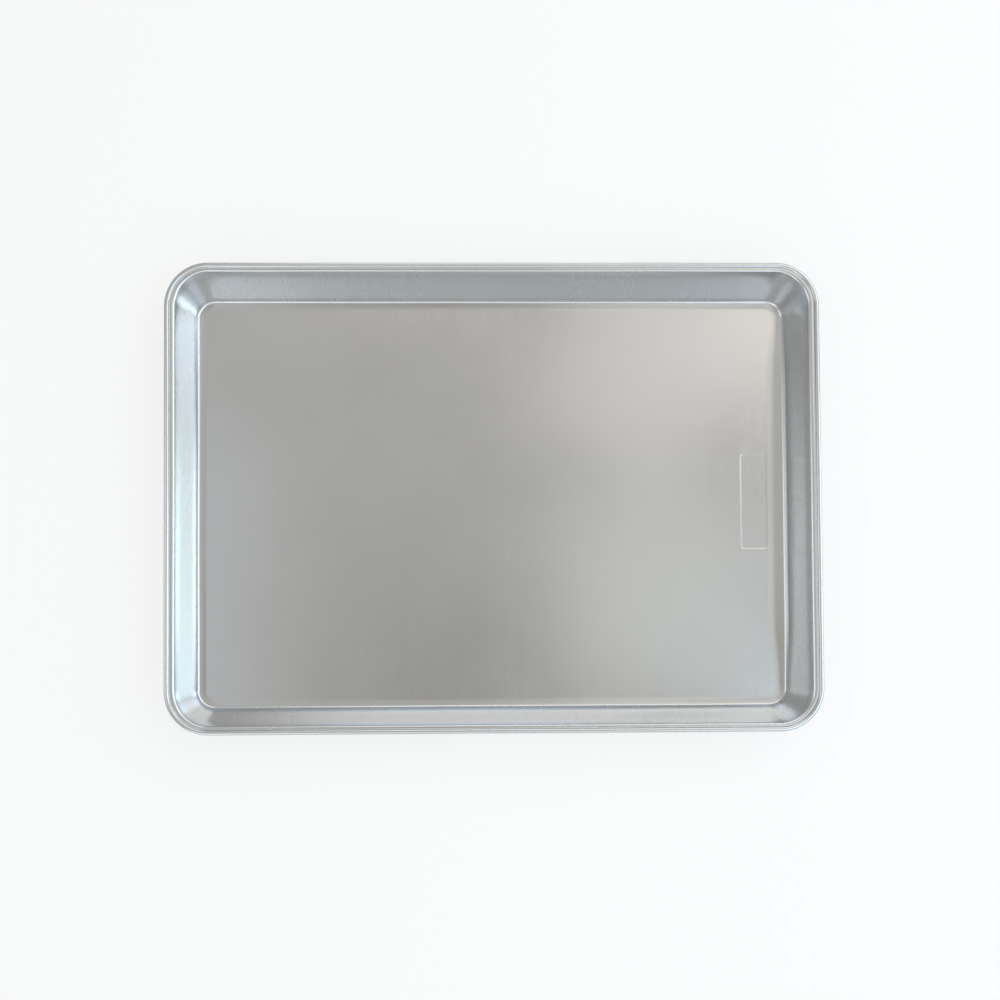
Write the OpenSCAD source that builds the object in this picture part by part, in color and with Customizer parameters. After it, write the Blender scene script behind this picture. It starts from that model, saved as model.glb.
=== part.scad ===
// Jelly roll pan: one pressed aluminium sheet with flared walls, round corners and a
// rim that is rolled round a steel wire. Sizes are in millimetres. The long side runs
// along X, and the origin is the middle of the underside.

/* [Pan] */
// Length over the rim
pan_l = 400; // [250:1:700]
// Width over the rim
pan_w = 287; // [180:1:500]
// Height from the underside of the floor to the top of the rim
pan_h = 25.4; // [16:0.2:60]
// Thickness of the sheet
sheet_t = 0.8; // [0.6:0.1:1.6]
// Lean of the walls, in degrees away from upright
wall_lean = 23.8; // [4:0.1:40]
// Radius of the floor's corners, seen from above
floor_corner_r = 9.3; // [3:0.1:40]
// Inside radius of the fold between the floor and the walls
floor_fold_r = 2.5; // [1:0.1:6]

/* [Rim] */
// Diameter of the wire inside the rolled rim
wire_d = 1.6; // [1:0.1:5]
// Gap between the wire and the sheet rolled round it
wire_fit = 0.05; // [0.02:0.01:0.3]
// Gap between the two ends of the wire, where they meet
wire_butt = 0.6; // [0.2:0.1:3]
// Width of the flat ledge between the wall and the rolled rim
ledge_w = 0.4; // [0.2:0.1:6]
// How far the rolled rim stands above the ledge
bead_stand = 1.2; // [0.8:0.05:2.4]
// Inside radius of the bend from the wall to the ledge
lip_r = 1.5; // [0.4:0.1:4]
// Radius of the groove between the ledge and the rolled rim
throat_r = 0.7; // [0.4:0.1:2]
// Gap between the tucked edge of the sheet and the underside of the groove
tuck_gap = 0.3; // [0.2:0.1:1]

/* [Floor panel] */
// Length of the recessed panel, across the pan
panel_l = 61; // [20:1:100]
// Width of the recessed panel, along the pan
panel_w = 17.5; // [8:0.5:30]
// Depth of the recessed panel
panel_d = 0.35; // [0.1:0.05:0.5]
// Width of the sloping edge of the panel
panel_edge = 0.6; // [0.2:0.1:1.5]
// Radius of the panel's corners
panel_r = 2.5; // [1.6:0.1:4]
// Distance from the panel's middle to the end of the flat floor
panel_inset = 17; // [16:0.5:60]

/* [Hidden] */
$fn = 96;
// Largest angle between two neighbouring points of a bend, in degrees
bend_step = 9;
// Overshoot of the cutters past the faces that they cut
cut_past = 1;
// Facets round the corners of the recessed panel
panel_facets = 32;
sheet_colour = [0.79, 0.8, 0.8];
wire_colour = [0.55, 0.57, 0.6];
half_t = sheet_t / 2;

// Rolled rim: the sheet's outer radius round the wire, and the wire's height
bead_r = wire_d / 2 + wire_fit + sheet_t;
wire_z = pan_h - bead_r;
// Groove: its centre above the ledge, touching the rolled rim from outside
ledge_z = pan_h - bead_stand - half_t;
throat_z = ledge_z + throat_r + half_t;
throat_reach = bead_r + throat_r;
throat_dx = sqrt(pow(throat_reach, 2) - pow(throat_z - wire_z, 2));
throat_turn = atan2(wire_z - throat_z, throat_dx);
// Tucked edge: the angle about the wire at which the sheet ends
tuck_reach = throat_r + sheet_t + tuck_gap;
tuck_turn = acos((pow(throat_reach, 2) + pow(bead_r, 2) - pow(tuck_reach, 2)) / (2 * throat_reach * bead_r));
curl_start = throat_turn - 180 + tuck_turn;
curl_end = throat_turn + 180;

// Section of the sheet's middle surface, from the floor's edge outward
fold_mid_r = floor_fold_r + half_t;
lip_mid_r = lip_r + half_t;
fold_c = [floor_corner_r, half_t + fold_mid_r];
wall_foot = fold_c + fold_mid_r * [cos(wall_lean), -sin(wall_lean)];
lip_z = ledge_z - lip_mid_r;
wall_head_z = lip_z + lip_mid_r * sin(wall_lean);
wall_head = [wall_foot.x + (wall_head_z - wall_foot.y) * tan(wall_lean), wall_head_z];
lip_c = [wall_head.x + lip_mid_r * cos(wall_lean), lip_z];
throat_c = [lip_c.x + ledge_w, throat_z];
wire_c = [throat_c.x + throat_dx, wire_z];

// Radius of the rim's corners, and half the straight lengths between the corners
corner_r = wire_c.x + bead_r;
half_x = pan_l / 2 - corner_r;
half_y = pan_w / 2 - corner_r;
// Middle of the recessed panel
panel_x = half_x + floor_corner_r - panel_inset;

// Points along an arc, from one angle to another about a centre
function arc(centre, r, from, to) =
    let (steps = ceil(abs(to - from) / bend_step))
    [for (i = [0:steps])
        let (a = from + (to - from) * i / steps)
        centre + r * [cos(a), sin(a)]];

// The side of the sheet that faces up and holds the dough, out to the tucked edge
function upper_side() = concat(
    [[0, sheet_t]],
    arc(fold_c, floor_fold_r, -90, -wall_lean),
    arc(lip_c, lip_r + sheet_t, 180 - wall_lean, 90),
    arc(throat_c, throat_r, -90, throat_turn),
    arc(wire_c, bead_r, curl_end, curl_start)
);

// The side that faces down, back from the tucked edge, which touches the wire
function lower_side() = concat(
    arc(wire_c, bead_r - sheet_t, curl_start, curl_end),
    arc(throat_c, throat_r + sheet_t, throat_turn, -90),
    arc(lip_c, lip_r, 90, 180 - wall_lean),
    arc(fold_c, floor_fold_r + sheet_t, -wall_lean, -90),
    [[0, 0]]
);

// A quarter of the pan round its children, which are a section drawn from the corner's
// centre line outward: half a short side, the corner and half a long side
module quarter_turn_and_runs() {
    translate([half_x, half_y, 0]) {
        rotate([90, 0, 0])
            linear_extrude(half_y)
                children();
        rotate_extrude(angle = 90)
            children();
    }
    translate([0, half_y, 0])
        rotate([90, 0, 90])
            linear_extrude(half_x)
                children();
}

// Its children in all four quarters
module four_quarters() {
    for (x = [0, 1], y = [0, 1])
        mirror([x, 0, 0])
            mirror([0, y, 0])
                children();
}

// The panel's hollow, which widens upward so that its edges slope, with round corners
module panel_hollow() {
    depth = panel_d + cut_past;
    widening = panel_edge * depth / panel_d;
    foot_r = panel_r - panel_edge;
    hull()
        for (x = [-1, 1], y = [-1, 1])
            translate([panel_x + x * (panel_w / 2 - panel_r), y * (panel_l / 2 - panel_r), sheet_t - panel_d])
                cylinder(h = depth, r1 = foot_r, r2 = foot_r + widening, $fn = panel_facets);
}

module pan_sheet() {
    color(sheet_colour)
        difference() {
            four_quarters() {
                quarter_turn_and_runs()
                    polygon(concat(upper_side(), lower_side()));
                cube([half_x, half_y, sheet_t]);
            }
            panel_hollow();
        }
}

// The wire that stiffens the rim: one hoop whose ends meet in the middle of a short side
module rim_wire() {
    color(wire_colour)
        difference() {
            four_quarters()
                quarter_turn_and_runs()
                    translate(wire_c)
                        circle(d = wire_d);
            translate([-half_x - wire_c.x, 0, wire_z])
                cube([2 * wire_d, wire_butt, 2 * wire_d], center = true);
        }
}

pan_sheet();
rim_wire();
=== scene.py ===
import bpy
import numpy as np
from mathutils import Euler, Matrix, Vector


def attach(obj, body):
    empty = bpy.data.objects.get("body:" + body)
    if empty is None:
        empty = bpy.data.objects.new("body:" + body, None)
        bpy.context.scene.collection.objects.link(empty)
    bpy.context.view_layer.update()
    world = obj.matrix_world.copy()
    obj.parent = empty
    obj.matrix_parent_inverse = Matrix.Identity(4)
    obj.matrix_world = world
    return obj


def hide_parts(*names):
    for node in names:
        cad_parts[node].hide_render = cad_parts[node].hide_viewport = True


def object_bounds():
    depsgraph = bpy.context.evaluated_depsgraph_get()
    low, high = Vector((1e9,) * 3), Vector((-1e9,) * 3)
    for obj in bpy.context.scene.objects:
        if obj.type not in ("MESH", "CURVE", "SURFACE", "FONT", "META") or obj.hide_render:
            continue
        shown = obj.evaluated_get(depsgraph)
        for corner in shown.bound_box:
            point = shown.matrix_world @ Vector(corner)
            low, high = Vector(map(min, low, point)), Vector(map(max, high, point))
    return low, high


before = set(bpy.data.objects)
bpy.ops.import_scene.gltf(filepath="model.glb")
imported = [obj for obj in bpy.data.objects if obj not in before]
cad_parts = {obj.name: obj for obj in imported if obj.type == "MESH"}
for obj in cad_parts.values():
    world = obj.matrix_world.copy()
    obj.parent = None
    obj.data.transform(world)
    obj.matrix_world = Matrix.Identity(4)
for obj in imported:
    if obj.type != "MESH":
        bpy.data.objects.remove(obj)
cadLow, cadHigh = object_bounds()
print("frame loaded", [round(v, 4) for v in cadHigh - cadLow])

mm = 0.001


# Small helpers

def linearColour(hexColour):
    # sRGB hex to linear: c / 12.92 below 0.04045, ((c + 0.055) / 1.055) ^ 2.4 above it
    channels = np.array([int(hexColour[i:i + 2], 16) / 255 for i in (1, 3, 5)])
    low = channels / 12.92
    high = ((channels + 0.055) / 1.055) ** 2.4
    return (*np.where(channels <= 0.04045, low, high).tolist(), 1.0)


def addNode(tree, kind, sockets=None, **settings):
    # One node with its settings; a socket is given a value, or another node's output to link
    made = tree.nodes.new(kind)
    for name, value in settings.items():
        setattr(made, name, value)
    for name, value in (sockets or {}).items():
        if isinstance(value, bpy.types.NodeSocket):
            tree.links.new(value, made.inputs[name])
        else:
            made.inputs[name].default_value = value
    return made


def newMaterial(name):
    # A material with no nodes yet, and its node tree
    material = bpy.data.materials.new(name)
    material.use_nodes = True
    material.node_tree.nodes.clear()
    return material, material.node_tree


def showMesh(name, points, faces):
    # A smooth mesh of points in metres, its object at the origin
    mesh = bpy.data.meshes.new(name)
    mesh.from_pydata(points.tolist(), [], faces)
    mesh.shade_smooth()
    made = bpy.data.objects.new(name, mesh)
    bpy.context.scene.collection.objects.link(made)
    return made


def mixed(first, second, share):
    # first + (second - first) * share
    return first + (second - first) * share


def smoothStep(share):
    # s * s * (3 - 2 s) of the share s, kept between 0 and 1: level at both of its ends
    share = np.clip(share, 0, 1)
    return share * share * (3 - 2 * share)


# The pressed sheet

sheet = {
    "thickness": 0.8,
    "foldInset": 16.8,       # from the rim's outside to the fold at the floor's edge
    "foldCorner": 10.04,     # radius of that fold's corners from above
    "pressShift": (-0.15, -0.75),    # how far along X and Y the floor was pressed off the middle
    # each of these four pairs is for the sheet all round, and for the end beside the panel
    "runIn": (4.0, 9.6),         # width over which the floor lifts softly before the fold
    "foldTilt": (47.0, 41.0),    # degrees at which the fold gives way to the heel of the wall
    "heelFlat": (0.2, 1.7),      # width of the heel's flat foot
    "heelRadius": (6.0, 0.9),    # of the bend from there to the wall
    "panelEndFade": 40.0,    # length before the corners over which the second values fade
    "runInRound": 0.67,      # the part of the run-in over which the floor reaches its tilt
    "runInTilt": 12.0,       # degrees at the fold
    "endFold": 2.4,          # radius inside the fold, at the short ends and along the long sides
    "sideFold": 2.0,
    "shoulderRadius": 36.0,  # of the gentle bend by which the wall leans back below the lip
    "shoulderTurn": 8.0,     # degrees
    "endLip": 2.2,           # radius under the bend at the top of the walls
    "sideLip": 0.9,
    "ledge": 0.4,            # width of the flat between that bend and the groove
    "grooveRadius": 0.7,
    "beadStand": 1.2,        # the rolled rim stands this far above the ledge
    "wireRadius": 0.8,
    "wireFit": 0.05,         # between the wire and the sheet rolled round it
    "tuckGap": 0.3,          # between the tucked edge and the underside of the groove
    "edgeRound": 0.2,        # the sheared edge's burr, worn round
    # how uneven hand and press leave the sheet, and the numbers of waves round the rim
    "foldSway": (0.10, (4, 7, 12)),
    "ledgeSway": (0.05, (5, 11, 17)),
    "rimSway": (0.06, (3, 8, 13)),
    "shoulderSway": (1.0, (2, 6, 9)),    # degrees
    "swayCorner": 17.0,      # radius at which the length round a corner is measured for them
    # the floor's unevenness, and for each of its waves the radians over half the floor along X
    # and Y and the angle at the middle
    "floorSway": 0.05,
    "floorWaves": ((9, 3, 1), (-4, 7, 0)),
    # how finely it is made
    "gridStep": 9.0,         # between the lines of the floor's grid
    "gridClear": 1.2,        # those lines keep this far from the fine ones at the panel's edges
    "borderClear": 0.05,     # and fine ones nearer than this to the grid's border are left out
    "runInLines": (1.8, 8.8, 0.8),   # first, last and step of the lines over the run-in
    "steps": {"corner": 26, "fold": 12, "heel": 6, "wall": 5, "shoulder": 5, "lip": 12,
              "ledge": 2, "groove": 8, "curl": 52, "tuck": 7},
    # the wall's tilt is looked for in a range that is halved this many times, and that runs from
    # so many degrees above the fold's last tilt to so many in all
    "halvings": 40,
    "leastBend": 1.0,
    "steepest": 89.0,
}

panel = {
    "length": 61.0,          # across the pan
    "width": 17.5,
    "depth": 0.15,
    "slope": 1.2,            # width of the sloping edge
    "cornerRadius": 2.5,
    "inset": 34.54,          # from its middle to the outside of the rim
    # lines of the floor's grid at its edges: before the slope, steps over it, and beyond it
    "linesBefore": (-1.6, -0.7, -0.25, -0.08),
    "slopeSteps": 5,
    "linesBeyond": (0.08, 0.25, 0.6, 0.7, 1.4),
}


def bendFrom(start, radius, turnFrom, turnTo, steps):
    # Start + radius * (sin a - sin from, cos from - cos a), the angle a even between the two; a
    # radius above 0 turns upwards. Gives the points and the surface's tilt at each.
    start, radius, turnFrom, turnTo = (
        np.asarray(v, float)[..., None] for v in (start, radius, turnFrom, turnTo))
    tilt = np.radians(mixed(turnFrom, turnTo, np.linspace(0, 1, steps + 1)))
    first = np.radians(turnFrom)
    run = radius * (np.sin(tilt) - np.sin(first))
    rise = radius * (np.cos(first) - np.cos(tilt))
    return np.stack([start[..., 0, :] + run, start[..., 1, :] + rise], -1), tilt


def straightTo(start, end, steps):
    # Points evenly along a straight run, the last of them its end, and the run's tilt at each
    share = np.linspace(0, 1, steps + 1)[1:, None]
    reach = (end - start)[:, None]
    tilt = np.arctan2(reach[..., 1], reach[..., 0])
    return start[:, None] + reach * share, np.repeat(tilt, steps, 1)


def withoutFirst(bent):
    # A bend without its first point, which the part before it ends with
    points, tilt = bent
    return points[:, 1:], tilt[:, 1:]


def edgeLines(edge, inward):
    # Lines across a sloping edge of the panel, close enough for its two soft creases
    slope = panel["slope"]
    offsets = np.concatenate([
        panel["linesBefore"],
        slope * np.linspace(0, 1, panel["slopeSteps"] + 1),
        slope + np.array(panel["linesBeyond"])])
    return edge + inward * offsets


def gridLines(half, fineLines):
    # Even lines from -half to half, with the fine lines put in where they fall inside
    count = int(np.ceil(2 * half / sheet["gridStep"]))
    even = np.linspace(-half, half, count + 1)
    fine = fineLines[np.abs(fineLines) < half - sheet["borderClear"]]
    clear = np.abs(even[:, None] - fine).min(1) > sheet["gridClear"]
    clear[[0, -1]] = True
    return np.sort(np.concatenate([even[clear], fine]))


def rimPath(linesX, linesY):
    # Anticlockwise round the rectangle of the corners' centres. The straight runs step along the
    # floor's grid lines, and each corner turns a quarter circle about one point.
    turn = np.linspace(0, 90, sheet["steps"]["corner"] + 1)[1:-1]
    lastX, lastY = len(linesX) - 1, len(linesY) - 1
    indexX, indexY = np.arange(lastX + 1), np.arange(lastY + 1)
    runs = [
        (np.full_like(indexY, lastX), indexY, 0),
        (indexX[::-1], np.full_like(indexX, lastY), 90),
        (np.full_like(indexY, 0), indexY[::-1], 180),
        (indexX, np.full_like(indexX, 0), 270),
    ]
    stepsX = np.concatenate([np.append(i, np.full(len(turn), i[-1])) for i, j, a in runs])
    stepsY = np.concatenate([np.append(j, np.full(len(turn), j[-1])) for i, j, a in runs])
    angle = np.concatenate([np.append(np.full(len(i), a), a + turn) for i, j, a in runs])
    return stepsX, stepsY, np.radians(angle.astype(float))


def wayRound(centreX, centreY, angle):
    # How far round the rim each point is, 0 to 2 pi: 2 pi * the length up to it / the whole
    # length, where a corner's length is its turn * one radius
    straight = np.hypot(np.diff(centreX, append=centreX[0]), np.diff(centreY, append=centreY[0]))
    turned = np.mod(np.diff(angle, append=2 * np.pi), 2 * np.pi)
    along = straight + sheet["swayCorner"] * turned
    return 2 * np.pi * np.concatenate([[0], np.cumsum(along)[:-1]]) / along.sum()


def swayAlong(way, name):
    # Size times the mean of sines round the rim with whole numbers of waves, so that it closes
    # on itself
    size, waves = sheet[name]
    return size * (sum(np.sin(count * way + count ** 2) for count in waves) / len(waves))


def halfGrid():
    # Half the distances between the corners' centres, along X and Y: half the pan's size less the
    # radius of the rim's corners
    corner = sheet["foldCorner"] + sheet["foldInset"]
    size = (cadHigh - cadLow) / mm
    return size.x / 2 - corner, size.y / 2 - corner


def panelMiddle():
    # The panel's middle along X: half the pan's length less the panel's inset
    return (cadHigh.x - cadLow.x) / mm / 2 - panel["inset"]


def borderLines():
    # Lines of the floor's border out from the corners' centre line: where the panel's edge
    # reaches it, and evenly over the run-in
    lines = edgeLines(panelMiddle() + panel["width"] / 2, -1) - halfGrid()[0]
    first, last, step = sheet["runInLines"]
    reached = lines[lines > sheet["borderClear"]]
    return np.unique(np.concatenate([[0], reached, np.arange(first, last, step), [last]]))


def floorLift(u, foldU, runIn):
    # Height and tilt of the soft run-in: r * x^2 / 2 while x, how far u is into it, is below the
    # length l of its round part, and r * l * (x - l / 2) beyond
    inside = np.maximum(u - (foldU - runIn)[:, None], 0)
    bent = (sheet["runInRound"] * runIn)[:, None]
    rate = np.tan(np.radians(sheet["runInTilt"])) / bent
    near = np.minimum(inside, bent)
    return rate * (near ** 2 / 2 + bent * (inside - near)), np.arctan(rate * near)


def tuckedEdge(wireU, wireZ, beadR, angle):
    # Half an ellipse across the sheet's end: across the thickness and a little past the end
    halfThick = sheet["thickness"] / 2
    turn = np.linspace(0, np.pi, sheet["steps"]["tuck"] + 1)[1:-1]
    wireU, angle = wireU[:, None], angle[:, None]
    reach = beadR - halfThick + halfThick * np.cos(turn)
    past = sheet["edgeRound"] * np.sin(turn)
    return np.stack([wireU + reach * np.cos(angle) + past * np.sin(angle),
                     wireZ + reach * np.sin(angle) - past * np.cos(angle)], -1)


def sheetSection(angle, way, panelShare):
    # The section at each rim point as (distance out from the corner's centre line, height): the
    # upper side out to the tucked edge, then the lower side back, one thickness below it. Gives
    # also how many rings are flat floor, the ring at the edge's tip, and the bend at each ring.
    thick, grooveR, steps = sheet["thickness"], sheet["grooveRadius"], sheet["steps"]
    level = np.zeros_like(angle)
    # round each corner the section turns from the short end's to the long side's
    endShare = np.cos(angle) ** 2
    foldR, lipR = (mixed(sheet["side" + name], sheet["end" + name], endShare) for name in ("Fold", "Lip"))
    runIn, foldTilt, heelFlat, heelRadius = (
        mixed(*sheet[name], panelShare) for name in ("runIn", "foldTilt", "heelFlat", "heelRadius"))

    # the rolled rim's circle round the wire, and the groove's circle, which touches it
    height = (cadHigh.z - cadLow.z) / mm
    beadR = sheet["wireRadius"] + sheet["wireFit"] + thick
    outer = sheet["foldCorner"] + sheet["foldInset"] + swayAlong(way, "rimSway")
    wireU, wireZ = outer - beadR, height - beadR
    ledgeZ = height - sheet["beadStand"] + swayAlong(way, "ledgeSway")
    grooveZ = ledgeZ + grooveR
    reach = beadR + grooveR
    grooveU = wireU - np.sqrt(reach ** 2 - (grooveZ - wireZ) ** 2)
    grooveTilt = 90 + np.degrees(np.arctan2(wireZ - grooveZ, wireU - grooveU))
    # the roll ends where its edge comes within the gap of the groove's underside
    tuckReach = grooveR + thick + sheet["tuckGap"]
    tuckCosine = (reach ** 2 + beadR ** 2 - tuckReach ** 2) / (2 * reach * beadR)
    curlTilt = grooveTilt - 360 + np.degrees(np.arccos(tuckCosine))

    # the floor's border, the fold and the heel's foot
    foldU = sheet["foldCorner"] + swayAlong(way, "foldSway")
    foldU += sheet["pressShift"][0] * np.cos(angle) + sheet["pressShift"][1] * np.sin(angle)
    flatU = np.concatenate([np.tile(borderLines(), (len(angle), 1)), foldU[:, None]], 1)
    lift, flatTilt = floorLift(flatU, foldU, runIn)
    flat = np.stack([flatU, thick + lift], -1)
    fold = bendFrom(flat[:, -1], foldR, sheet["runInTilt"], foldTilt, steps["fold"])
    foot = np.radians(foldTilt)
    heelStart = fold[0][:, -1] + heelFlat[:, None] * np.stack([np.cos(foot), np.sin(foot)], -1)

    # halve the range of the wall's tilt until the straight run meets both bends
    lipEnd = np.stack([grooveU - sheet["ledge"], ledgeZ], -1)
    shoulderTurn = sheet["shoulderTurn"] + swayAlong(way, "shoulderSway")
    low, high = foldTilt + sheet["leastBend"], np.full_like(angle, sheet["steepest"])
    for _ in range(sheet["halvings"]):
        wallTilt = (low + high) / 2
        heel = bendFrom(heelStart, heelRadius, foldTilt, wallTilt, steps["heel"])
        # the shoulder and the lip, drawn from the lip's end and then moved back to end there
        leanTilt = wallTilt - shoulderTurn
        shoulder = bendFrom(lipEnd, -sheet["shoulderRadius"], wallTilt, leanTilt, steps["shoulder"])
        lip = bendFrom(shoulder[0][:, -1], -(lipR + thick), leanTilt, level, steps["lip"])
        back = (lipEnd - lip[0][:, -1])[:, None]
        shoulder, lip = ((points + back, tilt) for points, tilt in (shoulder, lip))
        missing = shoulder[0][:, 0] - heel[0][:, -1]
        wallAngle = np.radians(wallTilt)
        steep = missing[:, 0] * np.sin(wallAngle) > missing[:, 1] * np.cos(wallAngle)
        high = np.where(steep, wallTilt, high)
        low = np.where(steep, low, wallTilt)
    print("walls tilt", np.round([wallTilt.min(), wallTilt.max()], 1))

    wall = straightTo(heel[0][:, -1], shoulder[0][:, 0], steps["wall"])
    ledge = straightTo(lipEnd, np.stack([grooveU, ledgeZ], -1), steps["ledge"])
    groove = bendFrom(ledge[0][:, -1], grooveR, level, grooveTilt, steps["groove"])
    curl = bendFrom(groove[0][:, -1], -beadR, grooveTilt, curlTilt, steps["curl"])
    chain = [(flat, flatTilt), withoutFirst(fold), heel, wall, withoutFirst(shoulder),
             withoutFirst(lip), ledge, withoutFirst(groove), withoutFirst(curl)]
    upper = np.concatenate([points for points, _ in chain], 1)
    tilt = np.concatenate([tilt for _, tilt in chain], 1)
    tuck = tuckedEdge(wireU, wireZ, beadR, np.radians(curlTilt + 90))
    # the lower side follows every second ring, back to the floor's border
    back = np.arange(upper.shape[1] - 1, 2, -2)
    lower = upper[:, back] + thick * np.stack([np.sin(tilt[:, back]), -np.cos(tilt[:, back])], -1)
    under = np.zeros((len(angle), 1, 2))
    # how sharply the sheet is bent at each ring: its turn / the length, which is kept above 0
    shortest = 0.01
    length = np.hypot(*np.gradient(upper, axis=1).transpose(2, 0, 1))
    bend = np.abs(np.gradient(tilt, axis=1)) / np.maximum(length, shortest)
    bend = np.concatenate([bend, np.zeros((len(bend), tuck.shape[1] + len(back) + 1))], 1)
    tip = upper.shape[1] + tuck.shape[1] // 2
    return np.concatenate([upper, tuck, lower, under], 1), flat.shape[1], tip, bend


def panelDrop(x, y):
    # Depth at a point: a smooth step over the slope's width, by the distance inside the outline
    beyondX = np.abs(x - panelMiddle()) - panel["width"] / 2 + panel["cornerRadius"]
    beyondY = np.abs(y) - panel["length"] / 2 + panel["cornerRadius"]
    outside = np.hypot(np.maximum(beyondX, 0), np.maximum(beyondY, 0))
    inside = panel["cornerRadius"] - outside - np.minimum(np.maximum(beyondX, beyondY), 0)
    return panel["depth"] * smoothStep(inside / panel["slope"])


def floorSwell(x, y):
    # The flat floor's slight unevenness: (1 - x^2)(1 - y^2)(2 + two slow sines), 0 at its edges
    ripple = 2 + sum(np.sin(a * x + b * y + c) for a, b, c in sheet["floorWaves"])
    return sheet["floorSway"] * (1 - x ** 2) * (1 - y ** 2) * ripple


def sheetFaces(border, ringCount, countX, countY):
    # The upper grid's cells, the faces between neighbouring rings, with three corners where two
    # points fall together, and the lower grid's cells turned over
    rimCount, gridCount = len(border), countX * countY
    between = gridCount + np.arange(ringCount * rimCount).reshape(ringCount, rimCount)
    lowerStart = gridCount + ringCount * rimCount
    rows = np.concatenate([border[None], between, border[None] + lowerStart])
    ahead = np.roll(rows, -1, 1)
    ringFaces = np.stack([rows[:-1], rows[1:], ahead[1:], ahead[:-1]], -1).reshape(-1, 4)
    startShut = ringFaces[:, 0] == ringFaces[:, 3]
    endShut = ringFaces[:, 1] == ringFaces[:, 2]
    quads = ringFaces[~startShut & ~endShut]
    triangles = np.concatenate([ringFaces[startShut][:, :3], ringFaces[endShut][:, [0, 1, 3]]])
    cell = (np.arange(countX - 1)[:, None] * countY + np.arange(countY - 1)).ravel()
    floorFaces = np.stack([cell, cell + countY, cell + countY + 1, cell + 1], -1)
    underFaces = floorFaces[:, ::-1] + lowerStart
    return np.concatenate([floorFaces, quads, underFaces]).tolist() + triangles.tolist()


def addPointValue(made, name, values):
    # One number at each point of a mesh, for its material to read
    layer = made.data.attributes.new(name, "FLOAT", "POINT")
    layer.data.foreach_set("value", values.astype(np.float32))


def ringPoints(*parts):
    # The rings between the two grids as one list of points, ring by ring
    rings = np.stack(parts, -1)[:, 1:-1]
    return rings.transpose(1, 0, 2).reshape(-1, len(parts))


def buildSheet():
    # The section carried round the rim path, shut by a grid of the floor above and one below
    halfX, halfY = halfGrid()
    middle, halfWidth, halfLength = panelMiddle(), panel["width"] / 2, panel["length"] / 2
    linesX = gridLines(halfX, np.concatenate([
        edgeLines(middle - halfWidth, 1), edgeLines(middle + halfWidth, -1)]))
    linesY = gridLines(halfY, np.concatenate([edgeLines(-halfLength, 1), edgeLines(halfLength, -1)]))
    countX, countY = len(linesX), len(linesY)
    stepsX, stepsY, angle = rimPath(linesX, linesY)
    centreX, centreY = linesX[stepsX], linesY[stepsY]
    # 1 along the end beside the panel, down to 0 by a smooth step on the way to its corners
    panelShare = smoothStep((halfY - np.abs(centreY)) / sheet["panelEndFade"]) * (angle == 0)
    section, flatCount, tip, bend = sheetSection(angle, wayRound(centreX, centreY, angle), panelShare)
    rimCount, ringCount = section.shape[:2]
    outwardX, outwardY = np.cos(angle)[:, None], np.sin(angle)[:, None]
    ringX = centreX[:, None] + section[..., 0] * outwardX
    ringY = centreY[:, None] + section[..., 0] * outwardY
    ringZ = section[..., 1]
    ringZ[:, :flatCount] -= panelDrop(ringX[:, :flatCount], ringY[:, :flatCount])
    gridX, gridY = (g.ravel() for g in np.meshgrid(linesX, linesY, indexing="ij"))
    swell = floorSwell(gridX / halfX, gridY / halfY)
    upper = np.stack([gridX, gridY, sheet["thickness"] - panelDrop(gridX, gridY) + swell], -1)
    lower = np.stack([gridX, gridY, swell], -1)
    points = np.concatenate([upper, ringPoints(ringX, ringY, ringZ), lower]) * mm
    faces = sheetFaces(stepsX * countY + stepsY, ringCount - 2, countX, countY)
    made = showMesh("pressed_sheet", points, faces)

    # the flat blank: how far each point lay from the corner's centre before the sheet was
    # pressed, the lower side going back from the edge's tip
    lengths = np.hypot(*np.diff(section, axis=1).transpose(2, 0, 1))
    run = np.concatenate([np.zeros((rimCount, 1)), np.cumsum(lengths, 1)], 1)
    run = np.where(np.arange(ringCount) > tip, 2 * run[:, tip:tip + 1] - run, run)
    blankRings = ringPoints(centreX[:, None] + run * outwardX, centreY[:, None] + run * outwardY)
    blank = np.concatenate([upper[:, :2], blankRings, lower[:, :2]]) * mm
    corners = np.zeros(len(made.data.loops), dtype=np.int32)
    made.data.loops.foreach_get("vertex_index", corners)
    layer = made.data.uv_layers.new(name="flatBlank")
    layer.data.foreach_set("uv", blank[corners].astype(np.float32).ravel())

    # bend is 0 on the flat floor and 1 where the sheet is bent to a radius of a millimetre or
    # less; pressed is 0 on the floor and 1 from the fold outwards
    flatGrid = np.zeros(len(upper))
    bendRings = np.clip(bend[:, 1:-1], 0, 1).T.ravel()
    addPointValue(made, "bend", np.concatenate([flatGrid, bendRings, flatGrid]))
    pressedRings = np.repeat(np.arange(ringCount)[1:-1] >= flatCount, rimCount)
    addPointValue(made, "pressed", np.concatenate([flatGrid, pressedRings, flatGrid]))
    print("sheet built:", len(points), "points,", len(faces), "faces, grid", countX, "x", countY,
          "rings", ringCount)
    return made


pressedSheet = buildSheet()


# Materials

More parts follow.
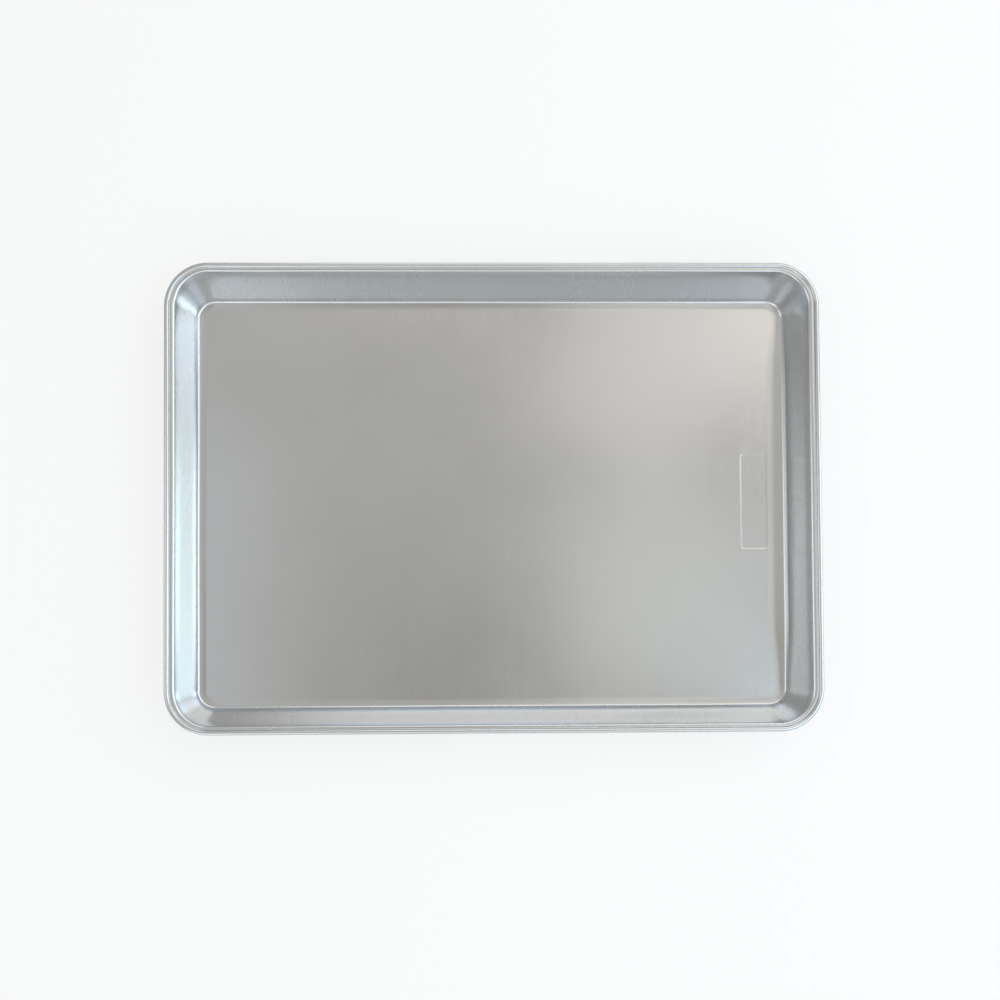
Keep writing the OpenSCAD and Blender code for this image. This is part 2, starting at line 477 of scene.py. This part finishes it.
aluminium = {
    # noise stretched along the rolling: waves to the metre across and along it, and its detail
    "grain": (7000, 80, 3.0),    # lines 0.15 mm wide
    "bands": (140, 3, 2.0),      # and 7 mm wide
    "clouds": (16.0, 3.0),       # patches 60 mm wide: waves to the metre, and detail
    "smear": 0.03,               # the part of the grain that is left where the press bent the sheet
    "roughness": (0.16, 0.26),   # from the grain's low to its high
    "bandRoughness": 0.008,      # up and down
    "cloudRoughness": 0.012,
    "wallRoughness": 0.06,       # added on what was pressed
    "burnish": 0.04,             # taken off where it is bent to a radius of a millimetre or less,
    "burnishFrom": 0.2,          # and nothing where the radius is 1 / this or more
    "shades": ("#D5D6D5", "#DCDDDE"),
    "grainShade": (0.35, 0.65),  # how far the grain goes from the first shade to the second
    "cloudShade": 0.2,           # and the clouds, up and down
    "relief": 0.0000002,         # metres: the lines stand a five thousandth of a millimetre high
}
noiseLow, noiseHigh = 0.3, 0.7   # nearly all of a noise lies between these


def millFinishAluminium():
    # Rolled and pressed sheet, not polished: a soft grey sheen with fine lines along the rolling
    # (along Y of the blank), cloudy where it was handled, duller on the drawn walls and burnished
    # where a bend was rubbed by the press
    material, tree = newMaterial("mill finish aluminium")
    blank = addNode(tree, "ShaderNodeUVMap", uv_map="flatBlank").outputs["UV"]
    place = addNode(tree, "ShaderNodeTexCoord").outputs["Object"]

    def rollingLines(across, along, detail):
        lines = addNode(tree, "ShaderNodeMapping", {"Vector": blank, "Scale": (across, along, 1)})
        return addNode(tree, "ShaderNodeTexNoise", {
            "Vector": lines.outputs["Vector"], "Scale": 1.0, "Detail": detail}).outputs["Fac"]

    def spread(value, low, high, first, last):
        # from first at low to last at high
        return addNode(tree, "ShaderNodeMapRange", {
            "Value": value, "From Min": low, "From Max": high,
            "To Min": first, "To Max": last}).outputs["Result"]

    def joined(operation, first, second):
        return addNode(tree, "ShaderNodeMath", {0: first, 1: second}, operation=operation).outputs[0]

    def pointValue(name):
        return addNode(tree, "ShaderNodeAttribute", attribute_name=name).outputs["Fac"]

    grain = rollingLines(*aluminium["grain"])
    bands = rollingLines(*aluminium["bands"])
    cloudWaves, cloudDetail = aluminium["clouds"]
    clouds = addNode(tree, "ShaderNodeTexNoise", {
        "Vector": place, "Scale": cloudWaves, "Detail": cloudDetail}).outputs["Fac"]
    bend, pressed = pointValue("bend"), pointValue("pressed")
    # the press smears the lines where it bends the sheet
    kept = spread(pressed, 0.0, 1.0, 1.0, aluminium["smear"])
    grain = joined("ADD", joined("MULTIPLY", joined("SUBTRACT", grain, 0.5), kept), 0.5)
    gloss = spread(grain, noiseLow, noiseHigh, *aluminium["roughness"])
    for value, size in ((bands, aluminium["bandRoughness"]), (clouds, aluminium["cloudRoughness"])):
        gloss = joined("ADD", gloss, spread(value, noiseLow, noiseHigh, -size, size))
    gloss = joined("ADD", gloss, spread(pressed, 0.0, 1.0, 0.0, aluminium["wallRoughness"]))
    gloss = joined("SUBTRACT", gloss, spread(bend, aluminium["burnishFrom"], 1.0, 0.0, aluminium["burnish"]))
    cloudShade = aluminium["cloudShade"]
    shade = joined("ADD", spread(grain, noiseLow, noiseHigh, *aluminium["grainShade"]),
                   spread(clouds, noiseLow, noiseHigh, -cloudShade, cloudShade))
    dark, pale = (linearColour(colour) for colour in aluminium["shades"])
    tone = addNode(tree, "ShaderNodeMix", {"Factor": shade, 6: dark, 7: pale}, data_type="RGBA")
    relief = addNode(tree, "ShaderNodeBump", {
        "Height": grain, "Strength": 1.0, "Distance": aluminium["relief"]})
    surface = addNode(tree, "ShaderNodeBsdfPrincipled", {
        "Base Color": tone.outputs[2], "Metallic": 1.0, "Roughness": gloss,
        "Normal": relief.outputs["Normal"]})
    addNode(tree, "ShaderNodeOutputMaterial", {"Surface": surface.outputs["BSDF"]})
    return material


steel = {
    "colour": "#B4B9BF",
    "spangles": 900.0,           # to the metre: 1.1 mm across
    "roughness": (0.38, 0.52),   # from a spangle's middle outwards
}


def galvanisedSteel():
    # Drawn wire with a zinc coat: duller and bluer than the aluminium, with small spangles that
    # shine more at their middles
    material, tree = newMaterial("galvanised steel")
    place = addNode(tree, "ShaderNodeTexCoord").outputs["Object"]
    spangle = addNode(tree, "ShaderNodeTexVoronoi", {"Vector": place, "Scale": steel["spangles"]})
    least, most = steel["roughness"]
    gloss = addNode(tree, "ShaderNodeMapRange", {
        "Value": spangle.outputs["Distance"], "To Min": least, "To Max": most})
    surface = addNode(tree, "ShaderNodeBsdfPrincipled", {
        "Base Color": linearColour(steel["colour"]), "Metallic": 1.0,
        "Roughness": gloss.outputs["Result"]})
    addNode(tree, "ShaderNodeOutputMaterial", {"Surface": surface.outputs["BSDF"]})
    return material


tableTop = {
    "half": 12.0,            # metres
    "colour": "#F7F7F7",
    "white": 0.72,           # the part of it that shows plain white, the rest keeping the shadow
}


def mattWhitePaper():
    # It shows white to the camera and in the metal, and keeps part of the shadow
    material, tree = newMaterial("matt white paper")
    paper = addNode(tree, "ShaderNodeBsdfDiffuse", {"Color": linearColour(tableTop["colour"])})
    glow = addNode(tree, "ShaderNodeEmission", {"Color": (1, 1, 1, 1), "Strength": 1.0})
    ray = addNode(tree, "ShaderNodeLightPath").outputs
    seen = addNode(tree, "ShaderNodeMath", {0: ray["Is Camera Ray"], 1: ray["Is Glossy Ray"]},
                   operation="ADD")
    clear = addNode(tree, "ShaderNodeMath", {0: seen.outputs[0], 1: ray["Is Transmission Ray"]},
                    operation="ADD")
    share = addNode(tree, "ShaderNodeMath", {0: clear.outputs[0], 1: tableTop["white"]},
                    operation="MULTIPLY")
    both = addNode(tree, "ShaderNodeMixShader", {
        0: share.outputs[0], 1: paper.outputs["BSDF"], 2: glow.outputs["Emission"]})
    addNode(tree, "ShaderNodeOutputMaterial", {"Surface": both.outputs["Shader"]})
    return material


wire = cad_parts["rim_wire"]
pressedSheet.data.materials.append(millFinishAluminium())
wire.data.materials.clear()
wire.data.materials.append(galvanisedSteel())
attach(pressedSheet, "root")
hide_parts("pan_sheet")
print("materials made:", ", ".join(piece.data.materials[0].name for piece in (pressedSheet, wire)))


# Table, light and camera

tableCorners = np.array([[-1, -1, 0], [1, -1, 0], [1, 1, 0], [-1, 1, 0]]) * tableTop["half"]
table = showMesh("table", tableCorners, [[0, 1, 2, 3]])
table.data.materials.append(mattWhitePaper())

# each lamp: its angle round from +X towards +Y and its height above the horizon in degrees, its
# side in metres, how bright its face is with 1 for white, and its colour
lamps = {
    "lowRightLamp": {"round": 5, "high": 27, "side": 0.5, "radiance": 1.90, "colour": "#DCF9FF"},
    "rightLamp": {"round": 355, "high": 34, "side": 0.8, "radiance": 0.37, "colour": "#F4F4FA"},
    "midRightLamp": {"round": 335, "high": 46, "side": 0.8, "radiance": 1.35, "colour": "#CBEAFF"},
    "lowBackRightLamp": {"round": 35, "high": 30, "side": 0.6, "radiance": 1.40, "colour": "#D0E5FF"},
    "backRightLamp": {"round": 35, "high": 46, "side": 0.8, "radiance": 0.45, "colour": "#FFF3EA"},
    "highRightLamp": {"round": 50, "high": 67, "side": 0.35, "radiance": 0.27, "colour": "#FFF8F6"},
    "overheadLamp": {"round": 0, "high": 74, "side": 0.4, "radiance": 0.21, "colour": "#F8FFFE"},
    "backLamp": {"round": 90, "high": 47, "side": 0.8, "radiance": 0.56, "colour": "#FFF5F0"},
    "lowBackLamp": {"round": 90, "high": 28, "side": 0.6, "radiance": 0.53, "colour": "#C8E6FF"},
    "backSideLamp": {"round": 60, "high": 32, "side": 0.6, "radiance": 0.72, "colour": "#F8FFFD"},
    "leftLamp": {"round": 180, "high": 44, "side": 0.7, "radiance": 0.76, "colour": "#F7FFFE"},
    "highLeftLamp": {"round": 180, "high": 59, "side": 0.8, "radiance": 0.12, "colour": "#CCDEFF"},
    "frontLamp": {"round": 270, "high": 42, "side": 1.0, "radiance": 0.53, "colour": "#EEFEFF"},
    "frontLeftLamp": {"round": 240, "high": 32, "side": 0.6, "radiance": 1.00, "colour": "#F1F7FF"},
    "frontRightLamp": {"round": 305, "high": 32, "side": 0.6, "radiance": 0.90, "colour": "#E2EDFF"},
}
lampsAway = 1.5              # metres
# how light the room is by the sine of the height: a pale wall all round, darker low down
roomShades = [
    (0.0, "#8C9098"), (0.18, "#8C9098"),
    (0.2, "#ACABAD"), (0.36, "#ACABAD"),
    (0.38, "#BCBDBC"), (1.0, "#BFBDB9"),
]
# a darker round patch nearly overhead, between two cosines of the angle from its middle
roomGap = {"round": 270, "high": 86, "from": 0.985, "to": 0.997, "change": -0.12}


def directionTo(bearing, high):
    # (cos e cos a, cos e sin a, sin e) for the angle a round from +X and e above the horizon
    bearing, high = np.radians([bearing, high])
    return Vector((np.cos(high) * np.cos(bearing), np.cos(high) * np.sin(bearing), np.sin(high)))


def addLamp(name, values):
    # A square lamp that faces the pan; its face shows its power / (4 * its area)
    direction = directionTo(values["round"], values["high"])
    light = bpy.data.lights.new(name, "AREA")
    light.shape = "SQUARE"
    light.size = values["side"]
    light.energy = values["radiance"] * 4 * values["side"] ** 2
    light.color = linearColour(values["colour"])[:3]
    lamp = bpy.data.objects.new(name, light)
    lamp.location = direction * lampsAway
    lamp.rotation_mode = "QUATERNION"
    lamp.rotation_quaternion = direction.to_track_quat("Z", "Y")
    bpy.context.scene.collection.objects.link(lamp)


for lampName, lampValues in lamps.items():
    addLamp(lampName, lampValues)

world = bpy.data.worlds.new("studio room")
world.use_nodes = True
roomTree = world.node_tree
roomTree.nodes.clear()
# the direction's height: 0 at the horizon, 1 straight up
direction = addNode(roomTree, "ShaderNodeTexCoord").outputs["Generated"]
upward = addNode(roomTree, "ShaderNodeSeparateXYZ", {"Vector": direction})
shades = addNode(roomTree, "ShaderNodeValToRGB", {"Fac": upward.outputs["Z"]})
while len(shades.color_ramp.elements) < len(roomShades):
    shades.color_ramp.elements.new(0.5)    # it gets its place below
for stop, (height, hexColour) in zip(shades.color_ramp.elements, roomShades):
    stop.position = height
    stop.color = linearColour(hexColour)
nearGap = addNode(roomTree, "ShaderNodeVectorMath", {
    0: direction, 1: directionTo(roomGap["round"], roomGap["high"])}, operation="DOT_PRODUCT")
gap = addNode(roomTree, "ShaderNodeMapRange", {
    "Value": nearGap.outputs["Value"], "From Min": roomGap["from"], "From Max": roomGap["to"],
    "To Min": 0.0, "To Max": roomGap["change"]}, interpolation_type="SMOOTHSTEP")
shaded = addNode(roomTree, "ShaderNodeVectorMath", {
    0: shades.outputs["Color"], 1: gap.outputs["Result"]}, operation="ADD")
room = addNode(roomTree, "ShaderNodeBackground", {"Color": shaded.outputs["Vector"], "Strength": 1.0})
addNode(roomTree, "ShaderNodeOutputWorld", {"Surface": room.outputs["Background"]})
bpy.context.scene.world = world
print("light set:", len(lamps), "lamps,", len(roomShades), "shades of the room")

photoCamera = {
    "place": (-31.36, -88.90, 629.97),       # millimetres
    "turn": (1.3474, -0.9396, -0.3313),      # degrees
    "lens": 36.06,                           # millimetres, as the sensor's width
    "sensor": 36,
    "shift": (0.04, 0.12),                   # as parts of the frame's width
}
lens = bpy.data.cameras.new("photo camera")
lens.sensor_width = photoCamera["sensor"]
lens.lens = photoCamera["lens"]
lens.shift_x, lens.shift_y = photoCamera["shift"]
camera = bpy.data.objects.new("photo camera", lens)
camera.location = Vector(photoCamera["place"]) * mm
camera.rotation_euler = Euler(np.radians(photoCamera["turn"]).tolist(), "XYZ")
bpy.context.scene.collection.objects.link(camera)
bpy.context.scene.camera = camera
bpy.context.scene.view_settings.view_transform = "Standard"
print("camera set", [round(v, 3) for v in camera.location])
